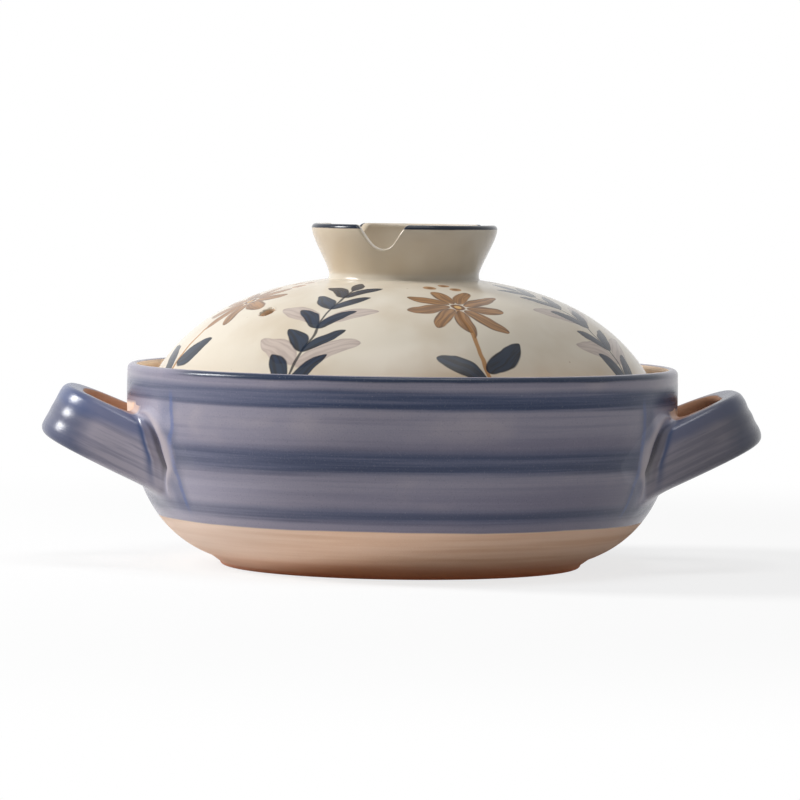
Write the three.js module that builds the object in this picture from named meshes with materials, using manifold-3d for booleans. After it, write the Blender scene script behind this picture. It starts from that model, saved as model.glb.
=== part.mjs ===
// Lidded clay pot: a thick-walled bowl with two loop handles, and a domed lid lifted by its hollow crown.
// Millimetres, +Z up. The origin is under the middle of the foot ring, +X points to the right handle,
// and the front of the pot is on the -Y side.

import * as THREE from 'three';
import { mergeVertices } from 'three/addons/utils/BufferGeometryUtils.js';
import Module from 'manifold-3d';

const wasm = await Module();
wasm.setup();

// Bowl, outside
const BOWL_RADIUS = 121;
const BOWL_HEIGHT = 88;
const BELLY_ANGLE = THREE.MathUtils.degToRad(20);
const BELLY_PULL = 44;
const WALL_PULL = 11.4;
const FOOT_INSET = 37;
const FOOT_TAPER = 4.5;
const FOOT_HEIGHT = 4.6;
const FOOT_RING_WIDTH = 11;
const FOOT_RECESS = 3;
const FOOT_RECESS_SLOPE = 2;
const FOOT_ROUND = 1.2;

// Bowl, inside
const WALL_THICKNESS = 16;
const FLOOR_THICKNESS = 8;
const CAVITY_CORNER = 34;
const RIM_THICKNESS = 5;
const LEDGE_DEPTH = 10.5;
const LEDGE_FILLET = 2;
const LEDGE_ROUND = 1.5;

// Lid
const LID_CLEARANCE = 5;
const LID_RISE = 50;
const LID_EDGE_ANGLE = THREE.MathUtils.degToRad(61);
const LID_TOP_PULL = 55;
const LID_EDGE_PULL = 36.6;
const LID_THICKNESS = 6.5;
const LID_EDGE_WIDTH = 7;
const LID_EDGE_ROUND = 2;
const STEAM_HOLE_DIAMETER = 7;
const STEAM_HOLE_INSET = 33;
const STEAM_HOLE_AZIMUTH = THREE.MathUtils.degToRad(-137.6);

// Crown on the lid
const CROWN_BASE_RADIUS = 33.2;
const CROWN_TOP_RADIUS = 40.8;
const CROWN_RISE = 22.2;
const CROWN_WALL = 5.5;
const CROWN_LIP_ROUND = 1.8;
const CROWN_BASE_PULL = 7;
const CROWN_TOP_PULL = 6;
const CROWN_FILLET = 2.2;
const NOTCHES = 3;
const NOTCH_DEPTH = 10.5;
const NOTCH_ROUND = 5;
const NOTCH_SHOULDER = 4;
const NOTCH_ANGLE = THREE.MathUtils.degToRad(39);
const NOTCH_AZIMUTH = THREE.MathUtils.degToRad(-107);

// Handles
const HANDLE_ROOT_HEIGHT = 53;
const HANDLE_TILT = THREE.MathUtils.degToRad(24.2);
const HANDLE_REACH = 37.84;
const HANDLE_WIDTH = 76;
const HANDLE_FULLNESS = 0.62;
const LEG_OVERLAP = 44;
const STRAP_HEIGHT = 23.2;
const STRAP_GROWTH = 2.2;
const STRAP_LEAN = THREE.MathUtils.degToRad(5.7);
const STRAP_THICKNESS = 10;
const STRAP_ROUND = 3.5;
const FLARE_LENGTH = 17;
const FLARE_OUTSIDE = 9;
const FLARE_INSIDE = 3;
const FLARE_RISE = 1.4;

// Fits
const SEAT_GAP = 0.3;
const LUTE_GAP = 0.3;
const CUT_OVERLAP = 12;

// Facets
const BODY_SEGMENTS = 60;
const CROWN_SEGMENTS = 40;
const HOLE_SEGMENTS = 16;
const CURVE_STEPS = 12;
const ARC_STEPS = 7;
const ROUND_STEPS = 3;
const STRAP_STEPS = 44;
const SLANT_SHARE = 0.5;
const WELD_DISTANCE = 1e-4;

// Sizes that follow from the ones above
const FOOT_TOP_RADIUS = BOWL_RADIUS - FOOT_INSET;
const FOOT_RADIUS = FOOT_TOP_RADIUS - FOOT_TAPER;
const FLOOR_HEIGHT = FOOT_RECESS + FLOOR_THICKNESS;
const LEDGE_HEIGHT = BOWL_HEIGHT - LEDGE_DEPTH;
const RIM_ROUND = RIM_THICKNESS / 2;
const CAVITY_RADIUS = BOWL_RADIUS - WALL_THICKNESS;
const RIM_INNER_RADIUS = BOWL_RADIUS - RIM_THICKNESS;
const LID_RADIUS = RIM_INNER_RADIUS - LID_CLEARANCE;
const CROWN_TOP = LID_RISE + CROWN_RISE;
const STRAP_REACH = HANDLE_REACH - STRAP_THICKNESS / 2;

// Outlines are lists of Vector2 points, x out from the axis and y up.
const point = (x, y) => new THREE.Vector2(x, y);

function arcPoints(x, y, radius, from, to, steps) {
  return new THREE.ArcCurve(x, y, radius, from, to, to < from).getPoints(steps);
}

// Runs of points one after the other, with repeated points dropped.
function joinRuns(...runs) {
  const points = runs.flat();
  return points.filter((p, i) => i === 0 || p.distanceTo(points[i - 1]) > WELD_DISTANCE);
}

// The point where an outline first crosses a given x or y, found along its straight steps.
function crossing(outline, key, value) {
  const end = outline.findIndex((p, i) => i > 0 && (p[key] - value) * (outline[i - 1][key] - value) <= 0);
  const [a, b] = [outline[end - 1], outline[end]];
  return a.clone().lerp(b, (value - a[key]) / (b[key] - a[key]));
}

// An outline moved outwards, to its right-hand side as it is walked. A point on the axis stays on it.
function grow(outline, distance) {
  return outline.map((p, i) => {
    const before = outline[Math.max(i - 1, 0)];
    const after = outline[Math.min(i + 1, outline.length - 1)];
    const along = after.clone().sub(before).normalize();
    const sideways = p.x === 0 ? 0 : distance * along.y;
    return point(p.x + sideways, p.y - distance * along.x);
  });
}

function lathe(profile, segments) {
  return new THREE.LatheGeometry(profile, segments).rotateX(Math.PI / 2);
}

// A closed solid from a geometry, without the empty triangles that a lathe leaves on its axis.
function toSolid(geometry) {
  const bare = geometry.clone();
  bare.deleteAttribute('normal');
  bare.deleteAttribute('uv');
  const welded = mergeVertices(bare, WELD_DISTANCE);
  const index = welded.getIndex().array;
  const triangles = [];
  for (let i = 0; i < index.length; i += 3) {
    const [a, b, c] = index.slice(i, i + 3);
    if (a !== b && b !== c && c !== a) triangles.push(a, b, c);
  }
  return new wasm.Manifold(new wasm.Mesh({
    numProp: 3,
    vertProperties: new Float32Array(welded.getAttribute('position').array),
    triVerts: new Uint32Array(triangles),
  }));
}

function toMesh(solid, name, finish) {
  const { vertProperties, triVerts } = solid.getMesh();
  const geometry = new THREE.BufferGeometry();
  geometry.setAttribute('position', new THREE.BufferAttribute(vertProperties, 3));
  geometry.setIndex(new THREE.BufferAttribute(triVerts, 1));
  geometry.computeVertexNormals();
  const mesh = new THREE.Mesh(geometry, new THREE.MeshStandardMaterial(finish));
  mesh.name = name;
  return mesh;
}

// Outside of the bowl, from the top of the foot up to the rounded rim.
function bowlOutline() {
  const rimStart = BOWL_HEIGHT - RIM_ROUND;
  return new THREE.CubicBezierCurve(
    point(FOOT_TOP_RADIUS, FOOT_HEIGHT),
    point(
      FOOT_TOP_RADIUS + BELLY_PULL * Math.cos(BELLY_ANGLE),
      FOOT_HEIGHT + BELLY_PULL * Math.sin(BELLY_ANGLE),
    ),
    point(BOWL_RADIUS, rimStart - WALL_PULL),
    point(BOWL_RADIUS, rimStart),
  ).getPoints(CURVE_STEPS);
}

// Bowl: foot ring, belly, rim, the ledge that carries the lid, and the round-cornered cavity.
function makeBowl() {
  const recessRadius = FOOT_RADIUS - FOOT_RING_WIDTH;
  const foot = [
    point(0, FOOT_RECESS),
    point(recessRadius - FOOT_RECESS_SLOPE, FOOT_RECESS),
    point(recessRadius, 0),
    ...arcPoints(FOOT_RADIUS - FOOT_ROUND, FOOT_ROUND, FOOT_ROUND, -Math.PI / 2, 0, ROUND_STEPS),
  ];
  const rimRadius = BOWL_RADIUS - RIM_ROUND;
  const rim = arcPoints(rimRadius, BOWL_HEIGHT - RIM_ROUND, RIM_ROUND, 0, Math.PI, 2 * ROUND_STEPS);
  const filletX = RIM_INNER_RADIUS - LEDGE_FILLET;
  const roundX = CAVITY_RADIUS + LEDGE_ROUND;
  const ledge = [
    ...arcPoints(filletX, LEDGE_HEIGHT + LEDGE_FILLET, LEDGE_FILLET, 0, -Math.PI / 2, ROUND_STEPS),
    ...arcPoints(roundX, LEDGE_HEIGHT - LEDGE_ROUND, LEDGE_ROUND, Math.PI / 2, Math.PI, ROUND_STEPS),
  ];
  const cornerX = CAVITY_RADIUS - CAVITY_CORNER;
  const cavity = [
    ...arcPoints(cornerX, FLOOR_HEIGHT + CAVITY_CORNER, CAVITY_CORNER, 0, -Math.PI / 2, ARC_STEPS),
    point(0, FLOOR_HEIGHT),
  ];
  const profile = joinRuns(foot, bowlOutline(), rim, ledge, cavity);
  return toMesh(toSolid(lathe(profile, BODY_SEGMENTS)), 'pot_bowl', { color: 0x737b92, roughness: 0.3 });
}

// What a piece pressed onto the bowl is trimmed by: the bowl without its hollow, grown by the joint's gap.
function bowlEnvelope() {
  const skin = grow(bowlOutline(), LUTE_GAP);
  const closed = [point(0, skin[0].y), ...skin, point(0, skin.at(-1).y)];
  return toSolid(lathe(closed, BODY_SEGMENTS));
}

// Middle line of the handle strap, seen square to its plane: two legs from the wall with a full bow between.
function handlePlan() {
  const side = (HANDLE_WIDTH - STRAP_THICKNESS) / 2;
  const pullOut = HANDLE_FULLNESS * STRAP_REACH;
  const pullIn = HANDLE_FULLNESS * side;
  const tip = point(STRAP_REACH, 0);
  const plan = new THREE.CurvePath();
  plan.add(new THREE.LineCurve(point(-LEG_OVERLAP, -side), point(0, -side)));
  plan.add(new THREE.CubicBezierCurve(
    point(0, -side), point(pullOut, -side), point(STRAP_REACH, -pullIn), tip));
  plan.add(new THREE.CubicBezierCurve(
    tip, point(STRAP_REACH, pullIn), point(pullOut, side), point(0, side)));
  plan.add(new THREE.LineCurve(point(0, side), point(-LEG_OVERLAP, side)));
  return plan;
}

// Cross-section of the strap: x is sideways across its thickness, y runs over its height.
function strapSection() {
  const x = STRAP_THICKNESS / 2 - STRAP_ROUND;
  const y = STRAP_HEIGHT / 2 - STRAP_ROUND;
  const corners = [point(x, y), point(-x, y), point(-x, -y), point(x, -y)].map((corner, i) => {
    const start = i * Math.PI / 2;
    return arcPoints(corner.x, corner.y, STRAP_ROUND, start, start + Math.PI / 2, ROUND_STEPS);
  });
  const [outerFace, innerFace] = [[point(STRAP_THICKNESS / 2, 0)], [point(-STRAP_THICKNESS / 2, 0)]];
  return joinRuns(corners[0], corners[1], innerFace, corners[2], corners[3], outerFace);
}

// Handle on the +X side: a round-edged strap swept along its plan. It grows taller towards the wall, leans in
// at the tip, and has flared ends that follow the wall.
function handleSolid() {
  const outline = bowlOutline();
  const root = crossing(outline, 'y', HANDLE_ROOT_HEIGHT);
  const place = new THREE.Matrix4().makeRotationY(-HANDLE_TILT).setPosition(root.x, 0, root.y);
  const plan = handlePlan();
  const section = strapSection();

  // The rings of the sweep slant with the wall on the legs and stand square at the tip.
  const low = crossing(outline, 'y', HANDLE_ROOT_HEIGHT - STRAP_HEIGHT / 2);
  const high = crossing(outline, 'y', HANDLE_ROOT_HEIGHT + STRAP_HEIGHT / 2);
  const slant = Math.tan(HANDLE_TILT + Math.atan2(high.x - low.x, high.y - low.y)) / plan.getLength();
  const end = slant * STRAP_HEIGHT;

  // Share of the full flare at a point of the strap: all of it on the wall, none past the flare's length.
  const flareAt = (p) => {
    const height = THREE.MathUtils.clamp(p.z, outline[0].y, outline.at(-1).y);
    const clear = Math.hypot(p.x, p.y) - crossing(outline, 'y', height).x;
    return (1 - THREE.MathUtils.clamp(clear / FLARE_LENGTH, 0, 1)) ** 2;
  };

  const vertices = [];
  const addVertex = (p) => vertices.push(p.x, p.y, p.z) / 3 - 1;
  const rings = [];
  const centres = [];
  for (let i = 0; i <= STRAP_STEPS; i += 1) {
    const ring = THREE.MathUtils.lerp(end, 1 - end, i / STRAP_STEPS);
    const toWall = THREE.MathUtils.clamp((1 - 2 * ring) / SLANT_SHARE, -1, 1);
    const strapPoint = (side, rise) => {
      const share = ring + toWall * slant * rise;
      const middle = plan.getPointAt(share);
      const along = plan.getTangentAt(share);
      const outward = THREE.MathUtils.clamp(middle.x / STRAP_REACH, 0, 1);
      const height = rise * (1 + (1 - outward) * STRAP_GROWTH / STRAP_HEIGHT);
      const lean = outward * height * Math.tan(STRAP_LEAN);
      const p = new THREE.Vector3(middle.x + side * along.y - lean, middle.y - side * along.x, height);
      return p.applyMatrix4(place);
    };
    rings.push(section.map((p) => {
      const flare = flareAt(strapPoint(p.x, p.y));
      const spread = p.x > 0 ? FLARE_OUTSIDE : FLARE_INSIDE;
      const side = p.x * (1 + flare * spread / (STRAP_THICKNESS / 2));
      const rise = p.y * (1 + flare * FLARE_RISE / (STRAP_HEIGHT / 2));
      return addVertex(strapPoint(side, rise));
    }));
    centres.push(strapPoint(0, 0));
  }

  const triangles = [];
  const first = addVertex(centres[0]);
  const last = addVertex(centres.at(-1));
  for (let j = 0; j < section.length; j += 1) {
    const next = (j + 1) % section.length;
    triangles.push(first, rings[0][j], rings[0][next]);
    triangles.push(last, rings.at(-1)[next], rings.at(-1)[j]);
    for (let i = 0; i < STRAP_STEPS; i += 1) {
      const [here, there] = [rings[i], rings[i + 1]];
      triangles.push(here[j], there[j], here[next], here[next], there[j], there[next]);
    }
  }
  const strap = new THREE.BufferGeometry();
  strap.setAttribute('position', new THREE.Float32BufferAttribute(vertices, 3));
  strap.setIndex(triangles);
  return toSolid(strap).subtract(bowlEnvelope());
}

// One dome curve from the axis down to the edge. The lid's outside and inside are two of these.
function domeCurve(rise, edgeRadius, edgeHeight) {
  return new THREE.CubicBezierCurve(
    point(0, rise),
    point(LID_TOP_PULL, rise),
    point(
      edgeRadius - LID_EDGE_PULL * Math.cos(LID_EDGE_ANGLE),
      edgeHeight + LID_EDGE_PULL * Math.sin(LID_EDGE_ANGLE),
    ),
    point(edgeRadius, edgeHeight),
  ).getPoints(CURVE_STEPS);
}

// Outside of the lid, from its edge up to the axis.
function lidOutline() {
  return domeCurve(LID_RISE, LID_RADIUS, LID_EDGE_ROUND).reverse();
}

// Lid: a domed shell with a flat seat under its edge, pierced straight down by one steam hole.
function makeLid() {
  const outside = lidOutline();
  const inside = domeCurve(LID_RISE - LID_THICKNESS, LID_RADIUS - LID_EDGE_WIDTH, 0);
  const edgeX = LID_RADIUS - LID_EDGE_ROUND;
  const edge = arcPoints(edgeX, LID_EDGE_ROUND, LID_EDGE_ROUND, -Math.PI / 2, 0, ROUND_STEPS);
  const shell = toSolid(lathe(joinRuns(inside, edge, outside), BODY_SEGMENTS));

  const mouth = crossing(outside, 'x', LID_RADIUS - STEAM_HOLE_INSET);
  const drill = new THREE.CylinderGeometry(
    STEAM_HOLE_DIAMETER / 2, STEAM_HOLE_DIAMETER / 2, 2 * CUT_OVERLAP, HOLE_SEGMENTS);
  drill.rotateX(Math.PI / 2).translate(mouth.x, 0, mouth.y).rotateZ(STEAM_HOLE_AZIMUTH);
  return toMesh(shell.subtract(toSolid(drill)), 'lid_dome', { color: 0xd2c8b4, roughness: 0.3 });
}

// What the crown is trimmed by: the lid without its hollow, grown by the joint's gap.
function lidEnvelope() {
  const skin = grow(lidOutline(), LUTE_GAP);
  return toSolid(lathe([point(0, skin[0].y), ...skin], BODY_SEGMENTS));
}

// Wedge that cuts one notch, standing upright across the crown's wall. Its bottom and shoulders are round.
function notchCutter(azimuth) {
  const bottomY = CROWN_TOP - NOTCH_DEPTH + NOTCH_ROUND;
  const sideX = NOTCH_ROUND * Math.cos(NOTCH_ANGLE);
  const sideY = bottomY - NOTCH_ROUND * Math.sin(NOTCH_ANGLE);
  const cornerX = sideX + (CROWN_TOP - sideY) * Math.tan(NOTCH_ANGLE);
  const shoulderX = cornerX + NOTCH_SHOULDER * Math.tan((Math.PI / 2 - NOTCH_ANGLE) / 2);
  const shoulderY = CROWN_TOP - NOTCH_SHOULDER;
  const top = CROWN_TOP + CUT_OVERLAP;
  const wedge = new THREE.Shape(joinRuns(
    [point(shoulderX, top), point(-shoulderX, top)],
    arcPoints(-shoulderX, shoulderY, NOTCH_SHOULDER, Math.PI / 2, NOTCH_ANGLE, ROUND_STEPS),
    arcPoints(0, bottomY, NOTCH_ROUND, Math.PI + NOTCH_ANGLE, 2 * Math.PI - NOTCH_ANGLE, ARC_STEPS),
    arcPoints(shoulderX, shoulderY, NOTCH_SHOULDER, Math.PI - NOTCH_ANGLE, Math.PI / 2, ROUND_STEPS),
  ));
  const depth = CROWN_TOP_RADIUS + CUT_OVERLAP;
  const cutter = new THREE.ExtrudeGeometry(wedge, { depth, bevelEnabled: false });
  return toSolid(cutter.rotateX(Math.PI / 2).rotateZ(Math.PI / 2 + azimuth));
}

// Crown: a flaring ring pressed onto the top of the lid, with notches in its lip at even spaces.
function makeCrown() {
  const base = crossing(lidOutline(), 'x', CROWN_BASE_RADIUS).y;
  const lipStart = CROWN_TOP - CROWN_LIP_ROUND;
  const flare = (inset) => new THREE.CubicBezierCurve(
    point(CROWN_BASE_RADIUS - inset, base + CROWN_FILLET),
    point(CROWN_BASE_RADIUS - inset, base + CROWN_FILLET + CROWN_BASE_PULL),
    point(CROWN_TOP_RADIUS - inset, lipStart - CROWN_TOP_PULL),
    point(CROWN_TOP_RADIUS - inset, lipStart),
  ).getPoints(ARC_STEPS);
  const outerFoot = CROWN_BASE_RADIUS + CROWN_FILLET;
  const innerFoot = CROWN_BASE_RADIUS - CROWN_WALL;
  const innerLip = CROWN_TOP_RADIUS - CROWN_WALL + CROWN_LIP_ROUND;
  const profile = joinRuns(
    [point(innerFoot, base - CROWN_FILLET), point(outerFoot, base - CROWN_FILLET)],
    arcPoints(outerFoot, base + CROWN_FILLET, CROWN_FILLET, -Math.PI / 2, -Math.PI, ROUND_STEPS),
    flare(0),
    arcPoints(CROWN_TOP_RADIUS - CROWN_LIP_ROUND, lipStart, CROWN_LIP_ROUND, 0, Math.PI / 2, ROUND_STEPS),
    arcPoints(innerLip, lipStart, CROWN_LIP_ROUND, Math.PI / 2, Math.PI, ROUND_STEPS),
    flare(CROWN_WALL).reverse(),
    [point(innerFoot, base - CROWN_FILLET)],
  );
  const ring = toSolid(lathe(profile, CROWN_SEGMENTS)).subtract(lidEnvelope());
  const azimuths = Array.from({ length: NOTCHES }, (_, i) => NOTCH_AZIMUTH + i * 2 * Math.PI / NOTCHES);
  const crown = azimuths.reduce((body, azimuth) => body.subtract(notchCutter(azimuth)), ring);
  return toMesh(crown, 'lid_crown', { color: 0xd0c6b2, roughness: 0.3 });
}

// The pot: the bowl and its two handles.
const pot = new THREE.Group();
const handle = handleSolid();
const handleFinish = { color: 0x6f7689, roughness: 0.3 };
const rightHandle = toMesh(handle, 'right_handle', handleFinish);
const leftHandle = toMesh(handle, 'left_handle', handleFinish);
leftHandle.rotation.z = Math.PI;
pot.add(makeBowl(), leftHandle, rightHandle);

// The lid, resting on the ledge inside the bowl's rim.
const lid = new THREE.Group();
lid.add(makeLid(), makeCrown());
lid.position.z = LEDGE_HEIGHT + SEAT_GAP;

const clayPot = new THREE.Group();
clayPot.name = 'clay_pot';
clayPot.add(pot, lid);

export default clayPot;
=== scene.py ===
import math

import bmesh
import bpy
from mathutils import Matrix, Vector, geometry


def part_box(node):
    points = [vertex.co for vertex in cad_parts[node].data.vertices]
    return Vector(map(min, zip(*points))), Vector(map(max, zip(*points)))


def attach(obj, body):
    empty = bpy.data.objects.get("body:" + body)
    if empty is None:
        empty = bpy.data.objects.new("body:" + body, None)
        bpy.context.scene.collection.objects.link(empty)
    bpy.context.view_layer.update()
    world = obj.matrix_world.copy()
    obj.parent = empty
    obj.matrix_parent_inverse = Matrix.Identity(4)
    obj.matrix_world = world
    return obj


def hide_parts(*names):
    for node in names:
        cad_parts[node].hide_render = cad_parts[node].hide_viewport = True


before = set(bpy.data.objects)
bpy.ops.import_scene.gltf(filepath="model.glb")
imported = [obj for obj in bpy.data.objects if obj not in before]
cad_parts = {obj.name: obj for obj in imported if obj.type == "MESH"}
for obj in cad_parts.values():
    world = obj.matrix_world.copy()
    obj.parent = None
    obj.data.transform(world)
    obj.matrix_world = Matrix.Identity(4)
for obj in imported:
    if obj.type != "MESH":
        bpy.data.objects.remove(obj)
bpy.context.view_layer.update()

# Camera
# A long lens just above the height of the crown, two metres in front of the pot and a little to one side.
# It is tipped down to the middle of the pot.
CAMERA_DISTANCE = 2.024
CAMERA_HEIGHT = 0.1707
CAMERA_SHIFT = -0.0023
CAMERA_TURN = math.radians(-2.0)
CAMERA_TIP = math.radians(2.775)
CAMERA_ROLL = math.radians(-0.745)
CAMERA_LENS = 207.0
SENSOR_WIDTH = 36.0
camera = bpy.data.objects.new("camera", bpy.data.cameras.new("camera"))
camera.data.sensor_width = SENSOR_WIDTH
camera.data.lens = CAMERA_LENS
tripod = Vector((CAMERA_SHIFT, -CAMERA_DISTANCE, CAMERA_HEIGHT))
camera.location = Matrix.Rotation(CAMERA_TURN, 3, "Z") @ tripod
camera.rotation_euler = (math.pi / 2 - CAMERA_TIP, CAMERA_ROLL, CAMERA_TURN)
bpy.context.collection.objects.link(camera)
bpy.context.scene.camera = camera

# Bowl
# Thick stoneware thrown on a wheel, with a foot ring below and a ledge inside the rim for the lid.
# Blue and grey-lilac glaze is brushed on in bands and stops above the foot. The clay is bare below it,
# on the ledge and behind the handles, and the inside has a pale glaze.
BOWL_RADIUS = 0.121
BOWL_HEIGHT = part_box("pot_bowl")[1][2]
FOOT_TOP = (0.084, 0.0046)
FOOT_RADIUS = 0.0795
FOOT_RING_WIDTH = 0.011
FOOT_RECESS = 0.003
FOOT_ROUND = 0.0014
FOOT_INNER_ROUND = 0.001
BELLY_ANGLE = math.radians(20)
BELLY_PULL = 0.044
WALL_PULL = 0.0114
RIM_ROUND = 0.0025
CAVITY_RADIUS = 0.105
CAVITY_CORNER = 0.034
FLOOR_HEIGHT = 0.011
FLOOR_MIDDLE = 0.04
LEDGE_HEIGHT = BOWL_HEIGHT - 0.0105
LEDGE_FILLET = 0.002
LEDGE_ROUND = 0.0015
CAVITY_SIDE = (LEDGE_HEIGHT - 0.002, 0.07, 0.05, FLOOR_HEIGHT + CAVITY_CORNER + 0.001)
WHEEL_STEPS = 240
HAIR = 0.001
NEARLY_LEVEL = 0.0005

# Heights in millimetres that the brush followed. Each band has its lower and upper edge, how far the edges
# run out, and how much of the lilac it covers.
BANDS = ((73.8, 81.8, 1.6, 1.0), (46.4, 56.6, 2.6, 0.93), (25.8, 31.4, 2.0, 0.82))
GLAZE_END = 21.9
RIM_LINE = 85.5
FOOT_DARKENING_FROM, FOOT_DARKENING_TO = 10.5, 2.0
BARE_BEHIND = (48.0, 71.4)
BARE_BEHIND_WIDTH = 32.5
# Angle in degrees, seen from the axis of the pot, at which the wash round the handles ends.
WASH_END = 33.5


def colour(red, green, blue):
    """A colour as a screen shows it, from 0 to 255, in the linear values that shaders mix."""
    shares = [v / 255 for v in (red, green, blue)]
    return tuple(v / 12.92 if v <= 0.04045 else ((v + 0.055) / 1.055) ** 2.4 for v in shares) + (1.0,)


CLAY, RINGED_CLAY = colour(241, 206, 180), colour(228, 187, 156)
PALE_SAND, DARK_SAND = colour(250, 236, 224), colour(206, 168, 140)
CLAY_SHEEN, LEDGE_CLAY = colour(240, 222, 208), colour(236, 212, 182)
FOOT_BROWN_AND_SHADE, FOOT_EDGE_BROWN_AND_SHADE = colour(214, 146, 104), colour(212, 124, 84)
WASH, WASH_CLOUD, WASH_GRAIN = colour(166, 161, 176), colour(150, 150, 172), colour(186, 178, 186)
LILAC, LILAC_STREAK, LILAC_CLOUD = colour(147, 143, 158), colour(128, 125, 143), colour(172, 163, 170)
LILAC_SHADE, LILAC_LIGHT = colour(112, 109, 130), colour(176, 171, 186)
BLUE, BLUE_STREAK = colour(73, 84, 114), colour(50, 63, 93)
BRUSH_HAZE, BRUSH_EDGE = colour(76, 84, 114), colour(84, 104, 156)
RIM_NAVY = colour(20, 40, 68)
PALE_GRAIN, DARK_GRAIN = colour(190, 184, 190), colour(50, 52, 70)
CREAM, CREAM_CLOUD, IRON_SPECK = colour(218, 209, 193), colour(207, 194, 174), colour(150, 118, 84)


def bezier(start, pull_out, pull_in, end, steps):
    """Points of one smooth stretch of an outline, given as (radius, height) pairs."""
    ends = [Vector((p[0], 0.0, p[1])) for p in (start, pull_out, pull_in, end)]
    return geometry.interpolate_bezier(*ends, steps)


def arc(radius, height, bend, start, end, steps):
    """Points of a rounded edge or corner of an outline, with its angles in degrees."""
    turns = [math.radians(start + (end - start) * i / steps) for i in range(steps + 1)]
    return [Vector((radius + bend * math.cos(t), 0.0, height + bend * math.sin(t))) for t in turns]


def radius_at(outline, height):
    """Radius of a rising outline at a height."""
    for low, high in zip(outline, outline[1:]):
        if height <= high.z:
            share = max(0.0, (height - low.z) / (high.z - low.z))
            return low.x + (high.x - low.x) * share
    return outline[-1].x


def throw(outline, steps):
    """A mesh turned on the wheel: an outline spun round the axis of the pot."""
    bm = bmesh.new()
    verts = [bm.verts.new(p) for p in outline]
    edges = [bm.edges.new(pair) for pair in zip(verts, verts[1:])]
    bmesh.ops.spin(bm, geom=verts + edges, axis=(0, 0, 1), angle=math.tau, steps=steps, use_merge=True)
    bmesh.ops.remove_doubles(bm, verts=bm.verts, dist=1e-6)
    bmesh.ops.recalc_face_normals(bm, faces=bm.faces)
    return bm


def fire(name, bm, *materials):
    """A finished piece from its mesh, with its finishes."""
    mesh = bpy.data.meshes.new(name)
    bm.to_mesh(mesh)
    bm.free()
    mesh.shade_smooth()
    for material in materials:
        mesh.materials.append(material)
    piece = bpy.data.objects.new(name, mesh)
    bpy.context.collection.objects.link(piece)
    return piece


class Field:
    """A number or colour that varies over a surface, with the arithmetic that glazes are mixed by."""

    def __init__(self, socket):
        self.socket = socket

    def math(self, operation, *others):
        made = self.socket.id_data.nodes.new("ShaderNodeMath")
        made.operation = operation
        for socket, value in zip(made.inputs, (self, *others)):
            plug(socket, value)
        return Field(made.outputs[0])

    def __add__(self, other):
        return self.math("ADD", other)

    def __sub__(self, other):
        return self.math("SUBTRACT", other)

    def __rsub__(self, number):
        return self * -1.0 + number

    def __mul__(self, other):
        return self.math("MULTIPLY", other)

    def __truediv__(self, other):
        return self.math("DIVIDE", other)

    def __abs__(self):
        return self.math("ABSOLUTE")

    def larger(self, other):
        """This field or the other one, whichever is larger."""
        return self.math("MAXIMUM", other)

    def rise(self, low, high):
        """0 below low and 1 above high, with a soft change between them. High may be the lower one."""
        made = self.socket.id_data.nodes.new("ShaderNodeMapRange")
        made.interpolation_type = "SMOOTHSTEP"
        plug(made.inputs["Value"], self)
        plug(made.inputs["From Min"], low)
        plug(made.inputs["From Max"], high)
        return Field(made.outputs[0])

    def band(self, low, high, soft):
        """1 between two levels and 0 outside them."""
        return self.rise(low - soft, low + soft) * self.rise(high + soft, high - soft)

    def over(self, colour, amount):
        """This colour with another laid over it."""
        made = self.socket.id_data.nodes.new("ShaderNodeMix")
        made.data_type = "RGBA"
        plug(made.inputs[0], amount)
        plug(made.inputs[6], self)
        plug(made.inputs[7], colour)
        return Field(made.outputs[2])


def plug(socket, value):
    """Sets an input of a node to a number or colour, or links it to a field."""
    if isinstance(value, Field):
        socket.id_data.links.new(value.socket, socket)
    else:
        socket.default_value = value


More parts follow.
